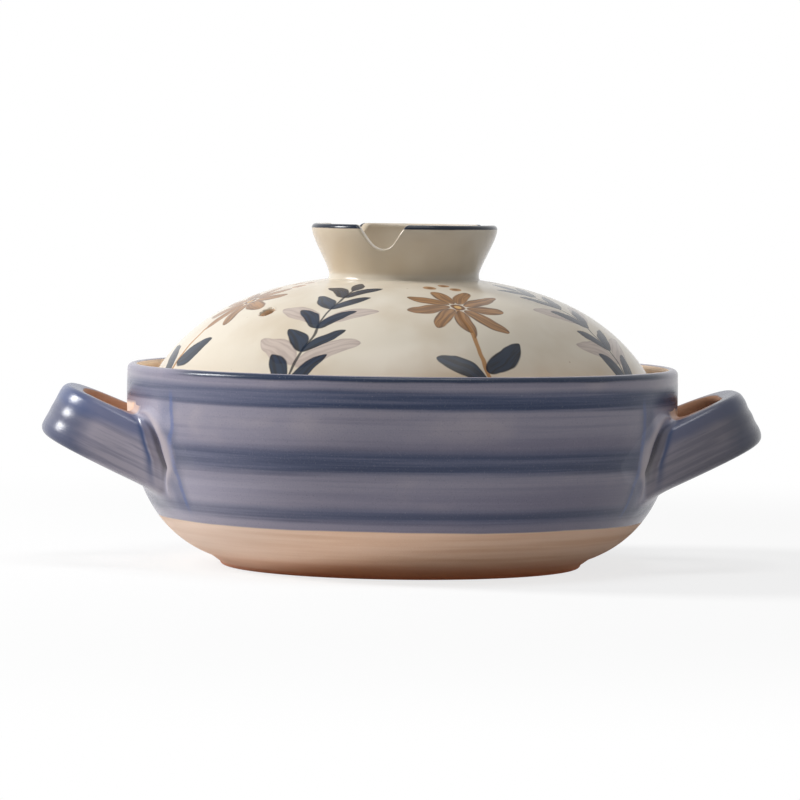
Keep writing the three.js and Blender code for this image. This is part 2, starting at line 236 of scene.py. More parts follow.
class Finish:
    """A material with one shader, and its place on the piece in millimetres."""

    def __init__(self, name):
        self.material = bpy.data.materials.new(name)
        self.material.use_nodes = True
        self.tree = self.material.node_tree
        self.shader = self.tree.nodes["Principled BSDF"]
        place = self.tree.nodes.new("ShaderNodeVectorMath")
        place.operation = "SCALE"
        place.inputs["Scale"].default_value = 1000.0
        coordinates = self.tree.nodes.new("ShaderNodeTexCoord")
        self.tree.links.new(coordinates.outputs["Object"], place.inputs[0])
        self.place = Field(place.outputs[0])
        split = self.tree.nodes.new("ShaderNodeSeparateXYZ")
        plug(split.inputs[0], self.place)
        self.x, self.y, self.z = (Field(out) for out in split.outputs)

    def vector(self, x, y, z):
        made = self.tree.nodes.new("ShaderNodeCombineXYZ")
        for socket, value in zip(made.inputs, (x, y, z)):
            plug(socket, value)
        return Field(made.outputs[0])

    def noise(self, vector, scale, detail=2.0, roughness=0.5):
        made = self.tree.nodes.new("ShaderNodeTexNoise")
        plug(made.inputs["Vector"], vector)
        plug(made.inputs["Scale"], scale)
        plug(made.inputs["Detail"], detail)
        plug(made.inputs["Roughness"], roughness)
        return Field(made.outputs[0])

    def chance(self, number):
        """A number from 0 to 1 that is drawn for each whole number."""
        made = self.tree.nodes.new("ShaderNodeTexWhiteNoise")
        made.noise_dimensions = "1D"
        plug(made.inputs["W"], number)
        return Field(made.outputs["Value"])

    def mark(self, name):
        """A number that the mesh carries at each of its points."""
        made = self.tree.nodes.new("ShaderNodeAttribute")
        made.attribute_name = name
        return Field(made.outputs["Fac"])

    def plain(self, shade):
        made = self.tree.nodes.new("ShaderNodeRGB")
        made.outputs[0].default_value = shade
        return Field(made.outputs[0])

    def radius(self):
        return (self.x * self.x + self.y * self.y).math("SQRT")

    def paint(self, shade, roughness, gloss):
        """Colour and roughness of the shader, and the strength of its reflections."""
        plug(self.shader.inputs["Base Color"], shade)
        plug(self.shader.inputs["Roughness"], roughness)
        self.shader.inputs["Specular IOR Level"].default_value = gloss

    def relief(self, height, depth):
        """Fine relief of the surface, with its depth in metres."""
        bump = self.tree.nodes.new("ShaderNodeBump")
        bump.inputs["Strength"].default_value = 1.0
        bump.inputs["Distance"].default_value = depth
        plug(bump.inputs["Height"], height)
        self.tree.links.new(bump.outputs[0], self.shader.inputs["Normal"])


def bare_clay(finish):
    """Bare fired clay: colour, and relief from the wheel and from sand in the clay."""
    rings = finish.noise(finish.vector(finish.x * 0.01, finish.y * 0.01, finish.z * 0.35), 1.0, 3.0)
    sand = finish.noise(finish.place, 1.4, 3.0, 0.7)
    shade = finish.plain(CLAY).over(RINGED_CLAY, rings.rise(0.4, 0.7))
    shade = shade.over(PALE_SAND, sand.rise(0.56, 0.8) * 0.4)
    shade = shade.over(DARK_SAND, sand.rise(0.4, 0.22) * 0.3)
    return shade, rings * 0.5 + sand * 0.5


def brushed(finish):
    """Long brush marks round the pot, soft clouds, and fine grain in the glaze."""
    streak = finish.noise(finish.vector(finish.x * 0.007, finish.y * 0.007, finish.z * 0.42), 1.0, 5.0, 0.55)
    cloud = finish.noise(finish.vector(finish.x, finish.y, finish.z * 1.6), 0.03, 3.0)
    grain = finish.noise(finish.place, 1.7, 2.0, 0.6)
    return streak, cloud, grain


def banded(finish, streak, cloud, level):
    """Lilac glaze with the blue bands brushed over it. Painted light makes both paler to the left, and
    painted shade darkens the lilac at two heights, most to the right.
    """
    x, z = finish.x, finish.z
    lilac = finish.plain(LILAC)
    lilac = lilac.over(LILAC_STREAK, streak.rise(0.42, 0.66) * 0.7)
    lilac = lilac.over(LILAC_CLOUD, cloud.rise(0.5, 0.75) * 0.5)
    # Painted shade: the lilac is darker at two heights, more so to the right. Painted light: its lower left
    # is paler.
    thick = (z.rise(68.0, 55.0) * z.rise(52.0, 55.0)).larger(z.rise(46.0, 34.0) * 0.7)
    lilac = lilac.over(LILAC_SHADE, thick * (x.rise(-110.0, 90.0) * 0.65 + 0.25))
    lilac = lilac.over(LILAC_LIGHT, z.rise(46.0, 38.0) * x.rise(-20.0, -100.0) * 0.5)
    blue = finish.plain(BLUE).over(BLUE_STREAK, streak.rise(0.36, 0.64))
    covered = level * 0.0
    for low, high, soft, cover in BANDS:
        covered = covered.larger(level.band(low, high, soft) * cover)
    # Painted light: the blue bands are paler towards the left, where the light falls.
    thin = x.rise(-30.0, -110.0) * 0.3
    return lilac.over(blue, covered * (streak.rise(0.2, 0.55) * 0.4 + 0.58) * (1.0 - thin))


def pale_wash(finish, cloud, grain):
    """Thin lilac glaze, wiped on round the roots of the handles."""
    shade = finish.plain(WASH).over(WASH_CLOUD, cloud.rise(0.4, 0.65))
    return shade.over(WASH_GRAIN, grain.rise(0.5, 0.8) * 0.4)


def wall_glaze(finish):
    """The glaze of the wall: brushed bands, the wash round the handles, and the navy line on the rim."""
    x, y, z = finish.x, finish.y, finish.z
    streak, cloud, grain = brushed(finish)
    drift = finish.noise(finish.vector(x, y, z * 0.15), 0.012, 2.0)
    level = z + (drift - 0.5) * 4.0 + (streak - 0.5) * 3.0
    glaze = banded(finish, streak, cloud, level)

    wander = finish.noise(finish.vector(x * 0.02, y * 0.02, z * 0.045), 1.0, 2.0)
    side = abs(y).math("ARCTAN2", abs(x)) * (180 / math.pi) + (wander - 0.5) * 3.5
    wash = side.rise(WASH_END + 1.0, WASH_END - 1.0) * level.band(32.0, 73.0, 3.0)
    glaze = glaze.over(pale_wash(finish, cloud, grain), wash * 0.8)
    brushed_round = level.band(28.0, 76.0, 4.0)
    haze = abs(side - (WASH_END - 1.5)).rise(4.5, 1.0) * wander.rise(0.3, 0.6) * brushed_round
    glaze = glaze.over(BRUSH_HAZE, haze * 0.75)
    edge = abs(side - WASH_END).rise(1.0, 0.2) * grain.rise(0.25, 0.6) * brushed_round
    glaze = glaze.over(BRUSH_EDGE, edge * 0.7)

    line = finish.radius().rise(119.2, 119.8) * (z + (cloud - 0.5) * 1.2).rise(RIM_LINE - 0.6, RIM_LINE + 0.6)
    # The line fades out towards the handles. Its longer fade on the left is painted light, where the light
    # washes the line out.
    line = line * (side - x.rise(0.0, -60.0) * 14.0).rise(16.0, 30.0)
    glaze = glaze.over(RIM_NAVY, line * 0.95)
    glaze = glaze.over(PALE_GRAIN, grain.rise(0.56, 0.82) * 0.2)
    glaze = glaze.over(DARK_GRAIN, grain.rise(0.44, 0.2) * 0.3)
    return glaze, streak, cloud, grain, drift


def banded_glaze():
    finish = Finish("banded_glaze")
    x, y, z = finish.x, finish.y, finish.z
    glaze, streak, cloud, grain, drift = wall_glaze(finish)
    clay, clay_relief = bare_clay(finish)
    # Painted sheen: the bare clay is paler towards the left.
    clay = clay.over(CLAY_SHEEN, x.rise(-20.0, -100.0) * 0.6)
    # The clay darkens towards the foot and at its bottom edge. This is partly browning in the fire and partly
    # painted shade where the pot meets the floor, and it is weaker on the lit left.
    foot_darkening = (z + (drift - 0.5) * 3.0).rise(FOOT_DARKENING_FROM, FOOT_DARKENING_TO) * (x.rise(-80.0, -20.0) * 0.5 + 0.4)
    clay = clay.over(FOOT_BROWN_AND_SHADE, foot_darkening).over(FOOT_EDGE_BROWN_AND_SHADE, z.rise(2.4, 0.6) * 0.6)
    bare = (z + (drift - 0.5) * 2.5 + (streak - 0.5) * 1.2).rise(GLAZE_END + 0.3, GLAZE_END - 0.3)
    behind = (abs(y) + (cloud - 0.5) * 8.0).rise(BARE_BEHIND_WIDTH + 1.5, BARE_BEHIND_WIDTH - 1.5)
    behind = behind * (z + (drift - 0.5) * 3.0).band(*BARE_BEHIND, 1.0) * abs(x).rise(80.0, 90.0)
    bare = bare.larger(behind)
    finish.paint(glaze.over(clay, bare), bare * 0.5 + 0.22, 0.22)
    finish.relief((1.0 - bare) * 0.6 + clay_relief * bare * 0.7 + streak * 0.15 + grain * 0.12, 0.0004)
    return finish.material


def ledge_clay():
    finish = Finish("ledge_clay")
    clay, relief = bare_clay(finish)
    finish.paint(clay.over(LEDGE_CLAY, 0.6), 0.55, 0.5)
    finish.relief(relief, 0.0003)
    return finish.material


def cream(finish):
    """Warm cream glaze with faint clouds in it and a few iron specks."""
    clouds = finish.noise(finish.place, 0.03, 3.0)
    specks = finish.noise(finish.place, 0.55, 1.0)
    shade = finish.plain(CREAM).over(CREAM_CLOUD, clouds.rise(0.4, 0.7))
    return shade.over(IRON_SPECK, specks.rise(0.80, 0.86) * 0.6), clouds


def inner_glaze():
    finish = Finish("inner_glaze")
    shade, clouds = cream(finish)
    finish.paint(shade, 0.2, 0.5)
    finish.relief(clouds, 0.0004)
    return finish.material


rim_start = BOWL_HEIGHT - RIM_ROUND
belly_out = (FOOT_TOP[0] + BELLY_PULL * math.cos(BELLY_ANGLE),
             FOOT_TOP[1] + BELLY_PULL * math.sin(BELLY_ANGLE))
wall_in = (BOWL_RADIUS, rim_start - WALL_PULL)
wall = bezier(FOOT_TOP, belly_out, wall_in, (BOWL_RADIUS, rim_start), 70)
recess_radius = FOOT_RADIUS - FOOT_RING_WIDTH
rim_inner = BOWL_RADIUS - 2 * RIM_ROUND
bowl_outline = [
    Vector((0.0, 0.0, FOOT_RECESS)),
    Vector((recess_radius - 2 * FOOT_INNER_ROUND, 0.0, FOOT_RECESS)),
    *arc(recess_radius + FOOT_INNER_ROUND, FOOT_INNER_ROUND, FOOT_INNER_ROUND, 180, 270, 4),
    *arc(FOOT_RADIUS - FOOT_ROUND, FOOT_ROUND, FOOT_ROUND, -90, 0, 6),
    *wall,
    *arc(BOWL_RADIUS - RIM_ROUND, rim_start, RIM_ROUND, 6, 180, 16),
    *arc(rim_inner - LEDGE_FILLET, LEDGE_HEIGHT + LEDGE_FILLET, LEDGE_FILLET, 0, -90, 6),
    *arc(CAVITY_RADIUS + LEDGE_ROUND, LEDGE_HEIGHT - LEDGE_ROUND, LEDGE_ROUND, 90, 180, 6),
    *bezier(*((CAVITY_RADIUS, height) for height in CAVITY_SIDE), 16),
    *arc(CAVITY_RADIUS - CAVITY_CORNER, FLOOR_HEIGHT + CAVITY_CORNER, CAVITY_CORNER, 0, -90, 30),
    Vector((FLOOR_MIDDLE, 0.0, FLOOR_HEIGHT)),
    Vector((0.0, 0.0, FLOOR_HEIGHT)),
]
bowl_mesh = throw(bowl_outline, WHEEL_STEPS)
for face in bowl_mesh.faces:
    middle = face.calc_center_median()
    radius = math.hypot(middle.x, middle.y)
    faces_out = face.normal.x * middle.x + face.normal.y * middle.y >= NEARLY_LEVEL * radius
    if radius < rim_inner + HAIR and middle.z > LEDGE_HEIGHT - HAIR:
        face.material_index = 1
    elif radius < CAVITY_RADIUS + HAIR and middle.z > FLOOR_HEIGHT - HAIR and not faces_out:
        face.material_index = 2
ledge_finish = ledge_clay()
bowl = fire("bowl", bowl_mesh, banded_glaze(), ledge_finish, inner_glaze())
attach(bowl, "pot")
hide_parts("pot_bowl")

# Handles
# Straps of pulled clay, bent into loops and pressed onto the wall while wet. Their ends flare out along
# the wall, with a groove pressed round each end and the clay beyond it smeared out.
# They are glazed like the wall and bare inside the loop.
HANDLE_ROOT = 0.0532
HANDLE_TILT = math.radians(24.2)
HANDLE_REACH = 0.0378
HANDLE_WIDTH = 0.076
HANDLE_FULLNESS = 0.80
STRAP_HEIGHT = 0.0236
STRAP_GROWTH = 0.0022
STRAP_LEAN = 0.07
STRAP_THICKNESS = 0.0112
STRAP_ROUND = 0.0032
STRAP_RIDGE = 0.00026
STRAP_RIDGE_PITCH = 0.0065
STRAP_RIDGE_END = 0.75
STRAP_RINGS = 30
CORNER_STEPS = 6
FACE_STEPS = 12
FLARE_SIDE = 0.0145
FLARE_START = 0.026
FLARE_LENGTH = 0.040
FLARE_TAPER = 0.35
# Distance from the wall and spread of the strap in millimetres, ring by ring from the strap out to the edge
# of the smeared clay: on its outer face, where the groove is, and on its other faces, where the clay is only
# smoothed over.
GROOVED = (
    (8.0, 0.0), (5.6, 0.0), (4.0, 0.0), (3.0, 0.0), (2.4, 0.0), (2.0, 0.05), (1.6, 0.15), (1.2, 0.4),
    (0.8, 0.9), (0.5, 1.7), (0.3, 2.7), (0.2, 3.8), (0.35, 5.0), (1.0, 6.1), (1.55, 7.2), (1.6, 8.6),
    (1.0, 10.2), (0.45, 12.0), (0.12, 14.0), (0.02, 16.0), (-0.06, 17.5), (-0.6, 18.0))
SMOOTHED = (
    (8.0, 0.0), (7.0, 0.02), (6.1, 0.05), (5.3, 0.1), (4.6, 0.16), (4.0, 0.24), (3.4, 0.34), (2.9, 0.46),
    (2.45, 0.6), (2.05, 0.78), (1.7, 1.0), (1.4, 1.22), (1.15, 1.46), (0.92, 1.72), (0.72, 2.0), (0.54, 2.35),
    (0.38, 2.75), (0.24, 3.2), (0.12, 3.8), (0.03, 4.5), (-0.06, 5.2), (-0.6, 5.4))
SKIRT_MIDDLE = 0.86
SKIRT_WIDENING = 0.50

STRAP_LILAC, STRAP_STREAK = colour(150, 144, 156), colour(104, 103, 122)
TIP_BLUE, UPPER_BLUE = colour(66, 74, 102), colour(72, 86, 126)
RIGHT_HANDLE_SHADE = colour(42, 42, 48)
GROOVE_BLUE, GROOVE_SLOPE_SHADE, GROOVE_SHADOW = colour(50, 68, 108), colour(92, 84, 96), colour(50, 43, 54)
RIDGE_HIGHLIGHT = colour(206, 190, 188)
LOOP_SHADE = colour(150, 92, 50)


def handle_glaze():
    finish = Finish("handle_glaze")
    x, y, z = finish.x, finish.y, finish.z
    wall_shade, _, cloud, grain, _ = wall_glaze(finish)
    inward, root, groove = (finish.mark(name) for name in ("inward", "root", "groove"))
    slope = z - abs(x) * 0.45
    streak = finish.noise(finish.vector(x * 0.02, y * 0.02, slope * 0.3), 1.0, 4.0, 0.55)
    tip = (abs(x) + (cloud - 0.5) * 30.0).rise(132.0, 148.0)
    upper = (slope + (cloud - 0.5) * 8.0).rise(2.0, 8.0)
    glaze = finish.plain(STRAP_LILAC)
    glaze = glaze.over(STRAP_STREAK, streak.rise(0.44, 0.62) * 0.6)
    glaze = glaze.over(TIP_BLUE, tip * 0.85)
    glaze = glaze.over(UPPER_BLUE, upper * 0.7)
    # Painted shade: the right handle is darker.
    glaze = glaze.over(RIGHT_HANDLE_SHADE, x.rise(90.0, 145.0) * 0.5)
    glaze = glaze.over(GROOVE_BLUE, root.band(0.13, 0.24, 0.05) * groove * 0.9)
    # Painted shade on the slope of the groove round the strap's end, and a painted shadow in its deepest
    # part, where the strap shadows it.
    glaze = glaze.over(GROOVE_SLOPE_SHADE, root.band(0.28, 0.46, 0.05) * groove * groove * 0.75)
    glaze = glaze.over(GROOVE_SHADOW, root.band(0.44, 0.6, 0.04) * groove * groove * 0.92)
    glaze = glaze.over(wall_shade, (root + (1.0 - groove) * 0.18).rise(0.52, 0.7))
    # Painted highlight along the ridge of smeared clay beyond the groove.
    glaze = glaze.over(RIDGE_HIGHLIGHT, root.band(0.64, 0.74, 0.04) * groove * 0.5)
    clay, clay_relief = bare_clay(finish)
    # Painted shade: the bare clay inside the loop, where little light reaches, is a darker brown.
    clay = clay.over(LOOP_SHADE, root.rise(0.8, 0.3) * 0.76)
    bare = (inward - tip * 0.4 + (cloud - 0.5) * 0.3).rise(-0.2, 0.15)
    finish.paint(glaze.over(clay, bare), bare * 0.45 + 0.27, 0.42)
    finish.relief((1.0 - bare) * 0.5 + streak * 0.2 + grain * 0.12 + clay_relief * bare * 0.7, 0.0004)
    return finish.material


def bow(way):
    """Place and outward direction on the middle line of the loop in plan: 0 at the wall, 1 at the tip."""
    reach = HANDLE_REACH - STRAP_THICKNESS / 2
    side = (HANDLE_WIDTH - STRAP_THICKNESS) / 2
    if way < 0.0:
        return Vector((3 * HANDLE_FULLNESS * reach * way, -side)), Vector((0.0, -1.0))
    ends = ((0.0, -side), (HANDLE_FULLNESS * reach, -side), (reach, -HANDLE_FULLNESS * side), (reach, 0.0))
    back = 1.0 - way
    shares = (back ** 3, 3 * back * back * way, 3 * back * way * way, way ** 3)
    slopes = (-3 * back * back, 3 * back * (back - 2 * way), 3 * way * (2 * back - way), 3 * way * way)
    place = sum((Vector(e) * k for e, k in zip(ends, shares)), Vector((0.0, 0.0)))
    along = sum((Vector(e) * k for e, k in zip(ends, slopes)), Vector((0.0, 0.0))).normalized()
    return place, Vector((along.y, -along.x))


def strap_section():
    """Places on the strap's outline and the way each faces, from the lower edge of its outer face round."""
    half, tall = STRAP_THICKNESS / 2 - STRAP_ROUND, STRAP_HEIGHT / 2 - STRAP_ROUND
    for corner, (right, top) in enumerate(((1, -1), (1, 1), (-1, 1), (-1, -1))):
        for i in range(CORNER_STEPS + 1):
            turn = math.radians(90 * (corner - 1 + i / CORNER_STEPS))
            face = Vector((math.cos(turn), math.sin(turn)))
            yield Vector((right * half, top * tall)) + face * STRAP_ROUND, face
        if corner in (0, 2):
            for i in range(1, FACE_STEPS):
                up = right * tall * (2 * i / FACE_STEPS - 1)
                yield Vector((right * STRAP_THICKNESS / 2, up)), Vector((right, 0.0))


set_on = Matrix.Translation((radius_at(wall, HANDLE_ROOT), 0.0, HANDLE_ROOT))
set_on = set_on @ Matrix.Rotation(-HANDLE_TILT, 4, "Y")


def strap_point(across, up, way):
    """A point of the strap on the +X side, from its place in the section and how far along the loop it is."""
    place, out = bow(way)
    share = min(max(way, 0.0), 1.0)
    flare = min(max(0.0, (FLARE_START - place.x) / FLARE_LENGTH), 1.15)
    flare = FLARE_SIDE * flare ** 1.6 * (1.0 + FLARE_TAPER * min(0.0, up * 2 / STRAP_HEIGHT))
    across += flare * min(max(0.0, across * 2 / STRAP_THICKNESS), 1.0)
    up *= 1.0 + STRAP_GROWTH / STRAP_HEIGHT * (1.0 - share)
    lean = STRAP_LEAN * up * share
    return set_on @ Vector((place.x + out.x * across - lean, place.y + out.y * across, up))


def pressed(across, up, distance):
    """How far along the loop a point of the strap is at a distance from the wall."""
    near, far = -0.6, 0.9
    for _ in range(30):
        way = (near + far) / 2
        p = strap_point(across, up, way)
        if math.hypot(p.x, p.y) - radius_at(wall, p.z) < distance:
            near = way
        else:
            far = way
    return near


def ridged(across, up, face, way):
    """A point of the strap, with the low ridges that fingers leave along its outer face."""
    ridge = STRAP_RIDGE * math.cos(math.tau * up / STRAP_RIDGE_PITCH) * max(face.x, 0.0) * max(way, 0.0)
    ridge *= 1.0 - (max(0.0, way - STRAP_RIDGE_END) / (1.0 - STRAP_RIDGE_END)) ** 2
    return strap_point(across + ridge, up, way)


def smeared(across, up, face, groove, ring):
    """A point of the clay round the end of the strap: grooved on the outer face, smoothed on the others."""
    (smooth_distance, smooth_spread), (groove_distance, groove_spread) = SMOOTHED[ring], GROOVED[ring]
    groove_spread *= SKIRT_MIDDLE + SKIRT_WIDENING * math.sin(up * math.pi / STRAP_HEIGHT)
    distance = smooth_distance + (groove_distance - smooth_distance) * groove
    spread = smooth_spread + (groove_spread - smooth_spread) * groove
    if face.x < -0.5:
        spread *= 0.5
    across += face.x * spread / 1000
    up += face.y * spread / 1000
    return strap_point(across, up, pressed(across, up, distance / 1000))


def pull_handle():
    """The handle on the +X side: half of it drawn ring by ring from the tip to the wall, then mirrored."""
    bm = bmesh.new()
    inward, root, grooved = (bm.verts.layers.float.new(name) for name in ("inward", "root", "groove"))
    section = {bm.verts.new((place.x, place.y, 0.0)): (place.x, place.y, face)
               for place, face in strap_section()}
    ring = list(section)
    edges = [bm.edges.new(pair) for pair in zip(ring, ring[1:] + ring[:1])]
    starts = {v: pressed(across, up, GROOVED[0][0] / 1000) for v, (across, up, _) in section.items()}
    for step in range(STRAP_RINGS + len(GROOVED)):
        if step:
            made = bmesh.ops.extrude_edge_only(bm, edges=edges)["geom"]
            fresh = [g for g in made if isinstance(g, bmesh.types.BMVert)]
            edges = [g for g in made if isinstance(g, bmesh.types.BMEdge)]
            nearest = {v: min(ring, key=lambda old: (old.co - v.co).length_squared) for v in fresh}
            section = {v: section[nearest[v]] for v in fresh}
            starts = {v: starts[nearest[v]] for v in fresh}
            ring = fresh
        for v in ring:
            across, up, face = section[v]
            groove = max(0.0, face.x) ** 2 * min(1.0, max(0.0, up * 2 / STRAP_HEIGHT / 0.95 + 1.0))
            v[grooved] = groove
            v[inward] = -face.x + 0.5 * min(0.0, face.y)
            if step < STRAP_RINGS:
                v[root] = 0.0
                v.co = ridged(across, up, face, 1.0 + (starts[v] - 1.0) * step / STRAP_RINGS)
            else:
                v[root] = (step - STRAP_RINGS) / (len(GROOVED) - 1)
                v.co = smeared(across, up, face, groove, step - STRAP_RINGS)
    bmesh.ops.mirror(bm, geom=bm.verts[:] + bm.edges[:] + bm.faces[:], axis="Y", merge_dist=1e-5)
    bmesh.ops.holes_fill(bm, edges=[e for e in bm.edges if e.is_boundary], sides=0)
    bmesh.ops.recalc_face_normals(bm, faces=bm.faces)
    return bm


handle_finish = handle_glaze()
right_mesh = pull_handle()
left_mesh = right_mesh.copy()
bmesh.ops.transform(left_mesh, matrix=Matrix.Rotation(math.pi, 4, "Z"), verts=left_mesh.verts)
for name, mesh in (("right_handle", right_mesh), ("left_handle", left_mesh)):
    handle = fire(name + "_strap", mesh, handle_finish)
    smooth = handle.modifiers.new("pulled clay", "SUBSURF")
    smooth.levels = smooth.render_levels = 1
    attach(handle, "pot")
    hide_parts(name)

# Lid
# A thrown dome that rests on the ledge by its own weight, pierced by one hole for steam.
# It is glazed cream over brushed plant ornament, and plain underneath.
LID_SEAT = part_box("lid_dome")[0][2]
LID_RISE = 0.050
LID_RADIUS = 0.111
LID_EDGE_ANGLE = math.radians(61)
LID_TOP_PULL = 0.060
LID_EDGE_PULL = 0.0366
LID_THICKNESS = 0.0065
LID_EDGE_WIDTH = 0.007
LID_EDGE_ROUND = 0.002
STEAM_HOLE_RADIUS = 0.0035
STEAM_HOLE_PLACE = 0.078
STEAM_HOLE_AZIMUTH = math.radians(-139.6)
# Steps of the rounded edge of the steam hole: how much wider than the hole, and how far below the last step.
STEAM_HOLE_EDGE = ((0.0006, 0.0), (0.00015, 0.0002), (0.0, 0.0005))

# The ornament, in millimetres: flowers and twigs by turns, each in its own sector of the lid.
SPRAYS = 8
SPRAY_TURN = math.radians(5)
SPRAY_MIDDLE = 80.0
STEM_BEND = 0.0025
FLOWER_HEIGHT = 4.0
PETALS = 9
FLOWER_LEAVES = ((-43.0, 58.0, 24.0), (-36.0, -54.0, 22.0))
BERRIES = ((-5.0, 31.0), (3.0, 35.0), (6.0, 28.0))
TWIG_LEAVES = (-44.0, -29.0, -14.0, 1.0, 14.0)
PALE_LEAVES = (-34.0, -10.0)

OCHRE, BROWN = colour(164, 117, 70), colour(98, 66, 40)
NAVY, SLATE = colour(2, 14, 29), colour(15, 42, 69)
PALE_MAUVE, MAUVE = colour(186, 170, 164), colour(150, 132, 130)
STEM_OCHRE, HEART_BROWN, HEART_YELLOW = colour(170, 122, 70), colour(112, 72, 40), colour(214, 170, 104)
CROWN_TAN_AND_SHADE, LIP_NAVY = colour(192, 174, 148), colour(8, 24, 44)


def dome(rise, edge_radius, edge_height, steps):
    """Outline of a skin of the lid, from the axis to the edge."""
    pull = (edge_radius - LID_EDGE_PULL * math.cos(LID_EDGE_ANGLE),
            edge_height + LID_EDGE_PULL * math.sin(LID_EDGE_ANGLE))
    points = bezier((0, rise), (LID_TOP_PULL, rise), pull, (edge_radius, edge_height), steps)
    return [p + Vector((0, 0, LID_SEAT)) for p in points]


def painted_cream():
    finish = Finish("painted_cream")
    shade, clouds = cream(finish)
    radius = finish.radius()
    along_dome = radius + radius * radius * radius * 1.02e-5
    turn = finish.y.math("ARCTAN2", finish.x) + SPRAY_TURN
    sector = (turn * (SPRAYS / math.tau)).math("FLOOR")
    spare = turn - (sector + 0.5) * (math.tau / SPRAYS)
    sector = sector.math("FLOORED_MODULO", float(SPRAYS))
    twigs = sector.math("FLOORED_MODULO", 2.0)
    flowers = 1.0 - twigs
    sway, warp = (finish.noise(finish.place, size, 2.0) for size in (0.035, 0.05))
    across = spare * radius + (sway - 0.5) * 10.0
    up = SPRAY_MIDDLE - along_dome + (warp - 0.5) * 8.0

    def turned(x, y, degrees):
        cos, sin = math.cos(math.radians(degrees)), math.sin(math.radians(degrees))
        return x * cos + y * sin, y * cos - x * sin

    def swelling(share):
        """0 at both ends of a brush stroke and 1 in its middle."""
        return (share * (1.0 - share) * 4.0).larger(0.0)

    def within(gap, share):
        """1 inside a stroke, given the distance past its edge and the share of its length."""
        return gap.rise(0.3, -0.4) * share.band(0.0, 1.0, 0.02)

    def stroke(x, y, length, width, bend=0.0):
        """A brush stroke along +Y from the origin that swells and runs out, with its bristle marks."""
        share = y * (1.0 / length)
        swell = swelling(share)
        gap = abs(x - swell * bend) - swell.math("POWER", 0.7) * width
        bristles = finish.noise(finish.vector(x - swell * bend, y * 0.07, length), 0.8, 2.0)
        return within(gap, share), gap, bristles

    def lay(mark, gap, bristles, thin, thick, strength):
        """Paint in a stroke, thicker along its edges and in its bristle marks."""
        heavy = gap.rise(-1.6, 0.0) * 0.45 + bristles.rise(0.36, 0.64) * 0.75
        return shade.over(finish.plain(thin).over(thick, heavy.math("MINIMUM", 1.0)), mark * strength)

    stem_x = across - up * up * STEM_BEND
    stem = abs(stem_x + 1.0).rise(1.2, 0.7) * up.band(-46.0, 6.0, 1.0)
    shade = shade.over(STEM_OCHRE, stem * flowers * 0.9)
    for place, lean, length in FLOWER_LEAVES:
        mark, gap, bristles = stroke(*turned(stem_x + 1.0, up - place, lean), length, 4.4, 1.6)
        shade = lay(mark * flowers, gap, bristles, SLATE, NAVY, 0.94)

    above = up - FLOWER_HEIGHT
    ring = across.math("ARCTAN2", above) * (PETALS / math.tau) + finish.chance(sector)
    petal = ring.math("FLOOR")
    lean = (ring - petal - 0.5) * (math.tau / PETALS)
    far = (across * across + above * above).math("SQRT")
    drawn = petal + sector * 31.0
    length = finish.chance(drawn) * 5.0 + 17.0
    share = (far * lean.math("COSINE") - 3.5) / length
    beside = far * lean.math("SINE")
    gap = abs(beside) - swelling(share).math("POWER", 0.55) * 3.7
    bristles = finish.noise(finish.vector(beside, far * 0.07, drawn), 0.8, 2.0)
    shade = lay(within(gap, share) * flowers, gap, bristles, OCHRE, BROWN, 0.9)
    shade = shade.over(HEART_BROWN, far.rise(3.6, 2.6) * flowers * 0.95)
    shade = shade.over(HEART_YELLOW, far.rise(1.9, 1.1) * flowers)

    twig_x = across + up * up * STEM_BEND - 2.0
    twig = abs(twig_x).rise(0.85, 0.3) * up.band(-46.0, 24.0, 1.0)
    for place in PALE_LEAVES:
        mark, gap, bristles = stroke(*turned(abs(twig_x), up - place, -66.0), 26.0, 5.0, -1.5)
        shade = lay(mark * twigs, gap, bristles, PALE_MAUVE, MAUVE, 0.7)
    shade = shade.over(NAVY, twig * twigs * 0.85)
    for place in TWIG_LEAVES:
        mark, gap, bristles = stroke(*turned(abs(twig_x), up - place, -44.0), 19.0, 3.5, -1.2)
        shade = lay(mark * twigs, gap, bristles, SLATE, NAVY, 0.94)
    mark, gap, bristles = stroke(twig_x, up - 22.0, 15.0, 3.2)
    shade = lay(mark * twigs, gap, bristles, SLATE, NAVY, 0.94)

    for x, y in BERRIES:
        spot = ((across - x) * (across - x) + (up - y) * (up - y)).math("SQRT")
        shade = shade.over(OCHRE, spot.rise(2.9, 2.3) * flowers * 0.85)
        shade = shade.over(BROWN, spot.rise(1.7, 0.8) * flowers * 0.6)
    finish.paint(shade, 0.18, 0.12)
    finish.relief(clouds, 0.0005)
    return finish.material


def plain_cream():
    """Cream glaze of the lid's underside and of the crown, which is tanned over, with painted shade darkening
    its left, and has a navy lip.
    """
    finish = Finish("plain_cream")
    shade, clouds = cream(finish)
    on_crown = finish.z.rise(127.5, 129.0)
    # The crown's own tan, laid on more thickly at its left as painted shade against the light from that side.
    shade = shade.over(CROWN_TAN_AND_SHADE, on_crown * (finish.x.rise(10.0, -30.0) * 0.45 + 0.2))
    lip = (finish.z + (clouds - 0.5) * 0.8).rise(147.9, 148.4) * finish.radius().rise(38.0, 38.6)
    finish.paint(shade.over(LIP_NAVY, lip), 0.18, 0.26)
    finish.relief(clouds, 0.0004)
    return finish.material


